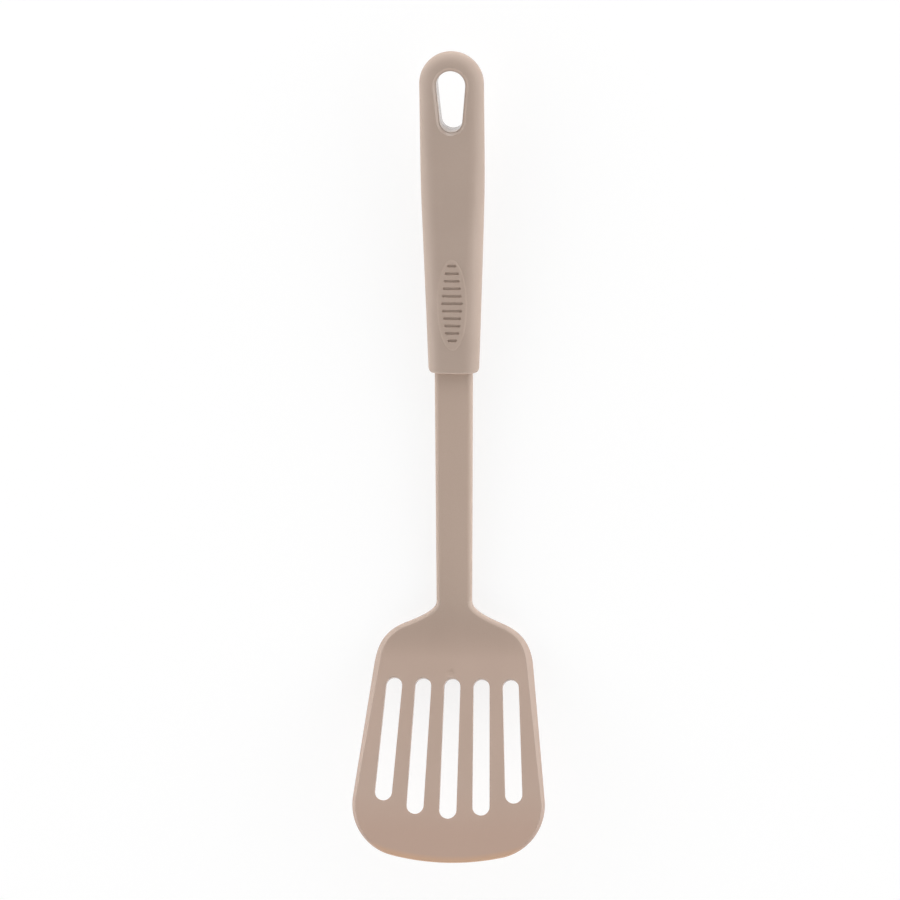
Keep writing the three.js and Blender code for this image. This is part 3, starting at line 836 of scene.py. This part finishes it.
def build_handle(materials):
    skin = Skin()
    turns = np.linspace(math.pi / 2, 0, MOUTH_STEPS + 1)
    mouth = [skin.ring(mouth_section(turn)) for turn in turns]
    skin.bridge(mouth)
    side_count = 2 * SIDE_BAND_STEPS + 1
    left_start = side_count + MOUTH_MIDDLE_STEPS
    right_column = mouth[-1][:side_count]
    front_row = mouth[-1][side_count:left_start]
    left_column = mouth[-1][left_start:left_start + side_count][::-1]
    back_row = mouth[-1][left_start + side_count:]
    half = spaced(right_edge, POINT_SPACING)
    round_the_end = np.vstack([half, half[-2::-1] * (-1, 1)])[1:-1]
    columns = [skin.ring(side_column(x, y)) for x, y in round_the_end]
    columns = [right_column, *columns, left_column]
    skin.bridge(columns, closed=False)
    eye_front, eye_back = eye_rings(skin)
    front_loop = [column[-1] for column in columns] + front_row[::-1]
    back_loop = [column[0] for column in columns] + back_row
    front_holes = [eye_front, pad_pocket(skin)]
    skin.fill(front_loop, front_holes, FILL_SPACING, lambda x, y: (x, y, front_height(x, y)))
    skin.fill(back_loop, [eye_back], FILL_SPACING, lambda x, y: (x, y, back_height(x, y)))
    skin.fill(mouth[0], [stem_socket(skin)], FILL_SPACING, lambda x, z: (x, 0, z), axes=(0, 2))
    make_piece("grip_handle", skin, handle_place, materials, "handle")


# Thumb pad

def pad_height(x, y):
    return front_height(x, y) + PAD_PROUD


def groove_rings(skin, index):
    """One cross groove. They get shorter by even steps, and the two end ones more. Returns its lip."""
    steps = abs(index)
    last_shortening = GROOVE_LAST_SHORTENING if steps == GROOVES_EACH_WAY else 0
    length = PAD_WIDTH - 2 * GROOVE_SIDE_LAND - GROOVE_SHORTENING * steps - last_shortening
    radius = GROOVE_WIDTH / 2
    half = length / 2 - radius
    y = pad_at + GROOVE_FIELD_SHIFT + index * GROOVE_PITCH
    ends = (-half, y), (half, y)
    loop = spaced(tapered_slot(*ends, radius, radius), GROOVE_SPACING, closed=True)
    out = outward(loop)
    lip = rounded_corner((1, 0), (0, 0), (0, 1), GROOVE_LIP)
    floor = rounded_corner((0, 0), (0, GROOVE_DEPTH), (-1, GROOVE_DEPTH), GROOVE_LIP)
    rings = []
    for grow, drop in [(GROOVE_LIP + SUPPORT, 0), *lip, *floor]:
        rings.append(skin.ring((x, y, pad_height(x, y) - drop) for x, y in loop + out * grow))
    skin.bridge(rings)
    skin.cap(rings[-1])
    return rings[0]


def build_pad(materials):
    skin = Skin()
    shares = np.linspace(0, 1, PAD_EDGE_STEPS + 1)
    edge = [(PAD_EDGE_WIDTH * (share - 1), PAD_PROUD * share ** PAD_EDGE_POWER) for share in shares]
    rings = []
    for grow, drop in [*edge, (0, PAD_SKIRT + PAD_PROUD)]:
        rings.append(skin.ring((x, y, pad_height(x, y) - drop) for x, y in oval(grow)))
    skin.bridge(rings)
    skin.cap(rings[-1])
    grooves = [groove_rings(skin, k) for k in range(-GROOVES_EACH_WAY, GROOVES_EACH_WAY + 1)]
    skin.fill(rings[0], grooves, PAD_SPACING, lambda x, y: (x, y, pad_height(x, y)))
    make_piece("ribbed_pad", skin, handle_place, materials, "thumb_pad")


# Materials

# The nylon of the blade. Its places along the part are y in millimetres
# Painted light and shade: the stem and the head are the same nylon, but the stem's tones are painted
# lighter and the head's darker. They blend over the neck
NYLON_STEM_PAINTED_LIGHT_TONES = ((0.470, 0.360, 0.294), (0.500, 0.385, 0.316))
NYLON_HEAD_PAINTED_SHADE_TONES = ((0.421, 0.313, 0.255), (0.448, 0.334, 0.275))
# Painted glow: the thin front is painted redder, and its edge a lighter orange, in place of light
# shining through the thin nylon
NYLON_FRONT_PAINTED_GLOW_TONES = ((0.432, 0.297, 0.235), (0.579, 0.329, 0.181))
NYLON_FLECK = (0.415, 0.307, 0.245)
NYLON_NECK_PAINTED_SHADE_BLEND = (-60, -84)
NYLON_PAINTED_GLOW_SPAN = (-135, -152)
NYLON_PAINTED_GLOW_SHARE = 0.8
NYLON_PAINTED_GLOW_WIDTH = 2.8
NYLON_CLOUDS = 22
NYLON_CLOUD_STRETCH = (1, 0.35, 1)
NYLON_GRAIN = 0.35
NYLON_GRAIN_HEIGHT = 0.012
NYLON_RIPPLES = 2.2
NYLON_RIPPLE_HEIGHT = 0.02
NYLON_GLOSS_CLOUDS = 3
NYLON_SPECULAR = 0.45
NYLON_COAT = 0.6

# The plastic of the handle
GRIP_TONES = ((0.430, 0.335, 0.279), (0.450, 0.352, 0.294))
GRIP_FLECK = (0.395, 0.303, 0.248)
GRIP_CLOUDS = 18
GRIP_GRAIN = 0.3
GRIP_GRAIN_HEIGHT = 0.015
GRIP_RIPPLES = 1.6
GRIP_RIPPLE_HEIGHT = 0.015
GRIP_GLOSS_CLOUDS = 2.5
GRIP_SPECULAR = 0.4
EYE_COAT = 0.55

# The plastic of the thumb pad
PAD_TONES = ((0.448, 0.349, 0.289), (0.464, 0.362, 0.302))
PAD_FLECK = (0.411, 0.315, 0.258)
PAD_CLOUDS = 9
PAD_GRAIN = 0.25
PAD_GRAIN_HEIGHT = 0.015
PAD_GLOSS_CLOUDS = 1.5
PAD_SPECULAR = 0.35

# What the plastics share
SATIN = 0.4
MATT = 0.48
DULL = 0.58
POLISH = 0.16
ROUGHNESS_SPREAD = 0.1
FLECK_SHARE = 0.35
GRAIN_DETAIL = 2
CLOUD_DETAIL = 3
NOISE_RANGE = (0.3, 0.7)


class Paint:
    """A material in the making: a shader with patterns measured in metres over the piece."""

    def __init__(self, name):
        self.material = bpy.data.materials.new(name)
        self.material.use_nodes = True
        self.tree = self.material.node_tree
        self.shader = self.tree.nodes["Principled BSDF"]
        self.where = self.tree.nodes.new("ShaderNodeTexCoord").outputs["Object"]

    def node(self, kind, **settings):
        made = self.tree.nodes.new(kind)
        for key, value in settings.items():
            setattr(made, key, value)
        return made

    def link(self, output, target):
        self.tree.links.new(output, target)

    def noise(self, size, detail=GRAIN_DETAIL, stretch=(1, 1, 1)):
        """Soft noise whose blotches are about this many millimetres wide."""
        mapping = self.node("ShaderNodeMapping")
        mapping.inputs["Scale"].default_value = stretch
        self.link(self.where, mapping.inputs["Vector"])
        made = self.node("ShaderNodeTexNoise")
        made.inputs["Scale"].default_value = 1 / (size * MM)
        made.inputs["Detail"].default_value = detail
        self.link(mapping.outputs["Vector"], made.inputs["Vector"])
        return made.outputs["Fac"]

    def ramp(self, source, start, end, low, high):
        """The source's range from start to end, spread over low to high."""
        made = self.node("ShaderNodeMapRange")
        limits = {"From Min": start, "From Max": end, "To Min": low, "To Max": high}
        for name, value in limits.items():
            made.inputs[name].default_value = value
        self.link(source, made.inputs["Value"])
        return made.outputs["Result"]

    def between(self, noise, low, high):
        """A noise's common range, spread over low to high."""
        return self.ramp(noise, *NOISE_RANGE, low, high)

    def along(self, start, end, most):
        """A share that grows from 0 to the most between two places along the part."""
        axes = self.node("ShaderNodeSeparateXYZ")
        self.link(self.where, axes.inputs["Vector"])
        return self.ramp(axes.outputs["Y"], start * MM, end * MM, 0, most)

    def away(self, centre, start, end):
        """A share that grows from 0 to 1 between two distances from a point."""
        distance = self.node("ShaderNodeVectorMath", operation="DISTANCE")
        distance.inputs[1].default_value = centre
        self.link(self.where, distance.inputs[0])
        return self.ramp(distance.outputs["Value"], start * MM, end * MM, 0, 1)

    def mix(self, share, first, second):
        """A mix of two colours, each a colour or a node's output."""
        made = self.node("ShaderNodeMix", data_type="RGBA")
        for name, value in (("A", first), ("B", second)):
            target = next(i for i in made.inputs if i.name == name and i.type == "RGBA")
            if isinstance(value, tuple):
                target.default_value = (*value, 1)
            else:
                self.link(value, target)
        self.link(share, made.inputs["Factor"])
        return next(o for o in made.outputs if o.type == "RGBA")

    def flecked(self, tone, fleck, grain):
        """Gives the surface a tone with faint flecks that follow its grain."""
        colour = self.mix(self.between(grain, 0, FLECK_SHARE), tone, fleck)
        self.link(colour, self.shader.inputs["Base Color"])

    def gloss(self, roughness, clouds, specular, coat=0):
        """Sets how the surface shines, with a roughness that varies in soft clouds."""
        noise = self.noise(clouds, CLOUD_DETAIL)
        varied = self.between(noise, roughness, roughness + ROUGHNESS_SPREAD)
        self.link(varied, self.shader.inputs["Roughness"])
        self.shader.inputs["Specular IOR Level"].default_value = specular
        self.shader.inputs["Coat Weight"].default_value = coat
        self.shader.inputs["Coat Roughness"].default_value = POLISH

    def bump(self, layers):
        """Fine relief from layers of (pattern, height in millimetres)."""
        normal = None
        for pattern, height in layers:
            made = self.node("ShaderNodeBump")
            made.inputs["Distance"].default_value = height * MM
            self.link(pattern, made.inputs["Height"])
            if normal is not None:
                self.link(normal, made.inputs["Normal"])
            normal = made.outputs["Normal"]
        self.link(normal, self.shader.inputs["Normal"])


def front_arc_centre():
    """Centre of the front edge's arc, where the finished blade lies."""
    front = blade_place(0, front_at, 0)
    back = blade_place(0, bend_end, 0)
    return to_table @ (front + (back - front).normalized() * FRONT_RADIUS)


def nylon(name, roughness, coat=0):
    """Glass-filled nylon with faint flow clouds along the blade and a fine grain. The stem is painted
    lighter and the head darker, painted light and shade on the one nylon, and the thin front is painted
    redder with a lighter orange edge, a painted glow of light through it.
    """
    paint = Paint(name)
    clouds = paint.noise(NYLON_CLOUDS, CLOUD_DETAIL, NYLON_CLOUD_STRETCH)
    cloudy = paint.between(clouds, 0, 1)
    # Painted light on the stem and painted shade on the head, blended along the neck
    stem = paint.mix(cloudy, *NYLON_STEM_PAINTED_LIGHT_TONES)
    head = paint.mix(cloudy, *NYLON_HEAD_PAINTED_SHADE_TONES)
    tone = paint.mix(paint.along(*NYLON_NECK_PAINTED_SHADE_BLEND, 1), stem, head)
    # Painted glow: redder over the thin front and a lighter orange in a band along its edge
    edge = paint.away(front_arc_centre(), FRONT_RADIUS - NYLON_PAINTED_GLOW_WIDTH, FRONT_RADIUS)
    front_painted_glow = paint.mix(edge, *NYLON_FRONT_PAINTED_GLOW_TONES)
    front = paint.mix(paint.along(*NYLON_PAINTED_GLOW_SPAN, NYLON_PAINTED_GLOW_SHARE), tone, front_painted_glow)
    grain = paint.noise(NYLON_GRAIN)
    ripples = paint.noise(NYLON_RIPPLES, CLOUD_DETAIL)
    paint.flecked(front, NYLON_FLECK, grain)
    paint.gloss(roughness, NYLON_GLOSS_CLOUDS, NYLON_SPECULAR, coat)
    paint.bump([(grain, NYLON_GRAIN_HEIGHT), (ripples, NYLON_RIPPLE_HEIGHT)])
    return paint.material


def grip_plastic(name, roughness, coat=0):
    """Moulded plastic with a fine spark-eroded grain."""
    paint = Paint(name)
    clouds = paint.noise(GRIP_CLOUDS, CLOUD_DETAIL)
    tone = paint.mix(paint.between(clouds, 0, 1), *GRIP_TONES)
    grain = paint.noise(GRIP_GRAIN)
    ripples = paint.noise(GRIP_RIPPLES, CLOUD_DETAIL)
    paint.flecked(tone, GRIP_FLECK, grain)
    paint.gloss(roughness, GRIP_GLOSS_CLOUDS, GRIP_SPECULAR, coat)
    paint.bump([(grain, GRIP_GRAIN_HEIGHT), (ripples, GRIP_RIPPLE_HEIGHT)])
    return paint.material


def pad_plastic():
    """The thumb pad's softer, duller plastic."""
    paint = Paint("soft_pad_plastic")
    clouds = paint.noise(PAD_CLOUDS, CLOUD_DETAIL)
    tone = paint.mix(paint.between(clouds, 0, 1), *PAD_TONES)
    grain = paint.noise(PAD_GRAIN)
    paint.flecked(tone, PAD_FLECK, grain)
    paint.gloss(DULL, PAD_GLOSS_CLOUDS, PAD_SPECULAR)
    paint.bump([(grain, PAD_GRAIN_HEIGHT)])
    return paint.material


# Floor, light and camera, in metres and watts

WHITE = (1, 1, 1, 1)
FLOOR_SIZE = 6.0
FLOOR_COLOUR = (0.92, 0.92, 0.92, 1)
FLOOR_SHADE_COLOUR = (0.264, 0.264, 0.264, 1)
FLOOR_GLOW = 0.765
TENT_STRENGTH = 4.76
TENT_FALLOFF = 2
SOFTBOX_SIZE = 1.0
SOFTBOXES = {
    "right_softbox": ((1.5, 0.3, 0.45), 2.2),
    "left_softbox": ((-1.5, 0.3, 0.45), 1.2),
    "far_softbox": ((0, 1.5, 0.45), 6),
    "near_softbox": ((0, -1.5, 0.3), 1.5),
}
CAMERA_TARGET = Vector((-0.00223, 0.00115, 0))
CAMERA_DISTANCE = 1.2
CAMERA_TILT = math.radians(6.6)
CAMERA_LEAN = math.radians(-5.686)
CAMERA_SWING = math.radians(-0.093)
CAMERA_LENS = 116.64


def seen_directly(tree):
    """1 for rays from the camera, off a gloss or through glass, and 0 for the light on other things."""
    path = tree.nodes.new("ShaderNodeLightPath")
    total = path.outputs["Is Camera Ray"]
    for name in ("Is Glossy Ray", "Is Transmission Ray"):
        larger = tree.nodes.new("ShaderNodeMath")
        larger.operation = "MAXIMUM"
        tree.links.new(total, larger.inputs[0])
        tree.links.new(path.outputs[name], larger.inputs[1])
        total = larger.outputs[0]
    return total


def build_floor():
    """A pale floor that looks white and keeps a soft shadow."""
    half = FLOOR_SIZE / 2
    mesh = bpy.data.meshes.new("floor")
    corners = [(-half, -half, 0), (half, -half, 0), (half, half, 0), (-half, half, 0)]
    mesh.from_pydata(corners, [], [(0, 1, 2, 3)])
    floor = bpy.data.objects.new("floor", mesh)
    bpy.context.scene.collection.objects.link(floor)
    material = bpy.data.materials.new("pale_floor")
    material.use_nodes = True
    tree = material.node_tree
    tree.nodes.remove(tree.nodes["Principled BSDF"])
    matt = tree.nodes.new("ShaderNodeBsdfDiffuse")
    matt.inputs["Color"].default_value = FLOOR_COLOUR
    white = tree.nodes.new("ShaderNodeEmission")
    white.inputs["Strength"].default_value = FLOOR_GLOW
    shade = tree.nodes.new("ShaderNodeBsdfDiffuse")
    shade.inputs["Color"].default_value = FLOOR_SHADE_COLOUR
    shaded = tree.nodes.new("ShaderNodeAddShader")
    tree.links.new(white.outputs["Emission"], shaded.inputs[0])
    tree.links.new(shade.outputs["BSDF"], shaded.inputs[1])
    shown = tree.nodes.new("ShaderNodeMixShader")
    tree.links.new(seen_directly(tree), shown.inputs["Fac"])
    tree.links.new(matt.outputs["BSDF"], shown.inputs[1])
    tree.links.new(shaded.outputs["Shader"], shown.inputs[2])
    tree.links.new(shown.outputs["Shader"], tree.nodes["Material Output"].inputs["Surface"])
    mesh.materials.append(material)
    floor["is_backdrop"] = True


def tent_light(tree):
    """Strength of the light tent: bright round the horizon, and darker towards its opening overhead."""
    direction = tree.nodes.new("ShaderNodeTexCoord").outputs["Generated"]
    axes = tree.nodes.new("ShaderNodeSeparateXYZ")
    tree.links.new(direction, axes.inputs["Vector"])
    lowness = tree.nodes.new("ShaderNodeMapRange")
    lowness.inputs["To Min"].default_value = 1
    lowness.inputs["To Max"].default_value = 0
    tree.links.new(axes.outputs["Z"], lowness.inputs["Value"])
    strength = lowness.outputs["Result"]
    for operation, operand in (("POWER", TENT_FALLOFF), ("MULTIPLY", TENT_STRENGTH)):
        step = tree.nodes.new("ShaderNodeMath")
        step.operation = operation
        step.inputs[1].default_value = operand
        tree.links.new(strength, step.inputs[0])
        strength = step.outputs[0]
    return strength


def build_world():
    """The light tent, which looks plain white itself."""
    world = bpy.data.worlds.new("studio")
    world.use_nodes = True
    tree = world.node_tree
    light = tree.nodes["Background"]
    light.inputs["Color"].default_value = WHITE
    tree.links.new(tent_light(tree), light.inputs["Strength"])
    white = tree.nodes.new("ShaderNodeBackground")
    white.inputs["Color"].default_value = WHITE
    shown = tree.nodes.new("ShaderNodeMixShader")
    tree.links.new(seen_directly(tree), shown.inputs["Fac"])
    tree.links.new(light.outputs["Background"], shown.inputs[1])
    tree.links.new(white.outputs["Background"], shown.inputs[2])
    tree.links.new(shown.outputs["Shader"], tree.nodes["World Output"].inputs["Surface"])
    bpy.context.scene.world = world


def softbox(name, place, power):
    """A square soft light that faces the object's middle."""
    lamp = bpy.data.lights.new(name, "AREA")
    lamp.shape = "SQUARE"
    lamp.size = SOFTBOX_SIZE
    lamp.energy = power
    light = bpy.data.objects.new(name, lamp)
    light.location = place
    light.rotation_euler = (-Vector(place)).to_track_quat("-Z", "Y").to_euler()
    bpy.context.scene.collection.objects.link(light)


def build_camera():
    """The photograph's view: from above, a little to the right of the tool and towards its handle."""
    turn = (
        Matrix.Rotation(CAMERA_SWING, 3, "Z")
        @ Matrix.Rotation(CAMERA_TILT, 3, "X")
        @ Matrix.Rotation(CAMERA_LEAN, 3, "Y")
    ).transposed()
    data = bpy.data.cameras.new("photo_camera")
    data.lens = CAMERA_LENS
    camera = bpy.data.objects.new("photo_camera", data)
    place = CAMERA_TARGET + turn @ Vector((0, 0, CAMERA_DISTANCE))
    camera.matrix_world = Matrix.Translation(place) @ turn.to_4x4()
    bpy.context.scene.collection.objects.link(camera)
    bpy.context.scene.camera = camera


# The finished scene

build_blade([
    nylon("satin_nylon", SATIN),
    nylon("polished_nylon", POLISH, NYLON_COAT),
])
build_handle([
    grip_plastic("matt_grip_plastic", MATT),
    grip_plastic("polished_grip_plastic", POLISH, EYE_COAT),
])
build_pad([pad_plastic()])
build_floor()
build_world()
for name, (place, power) in SOFTBOXES.items():
    softbox(name, place, power)
build_camera()
bpy.context.scene.view_settings.view_transform = "Standard"

boxes = {"cad": cad_box, "visual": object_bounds()}
{name: [list(corner) for corner in box] for name, box in boxes.items()}
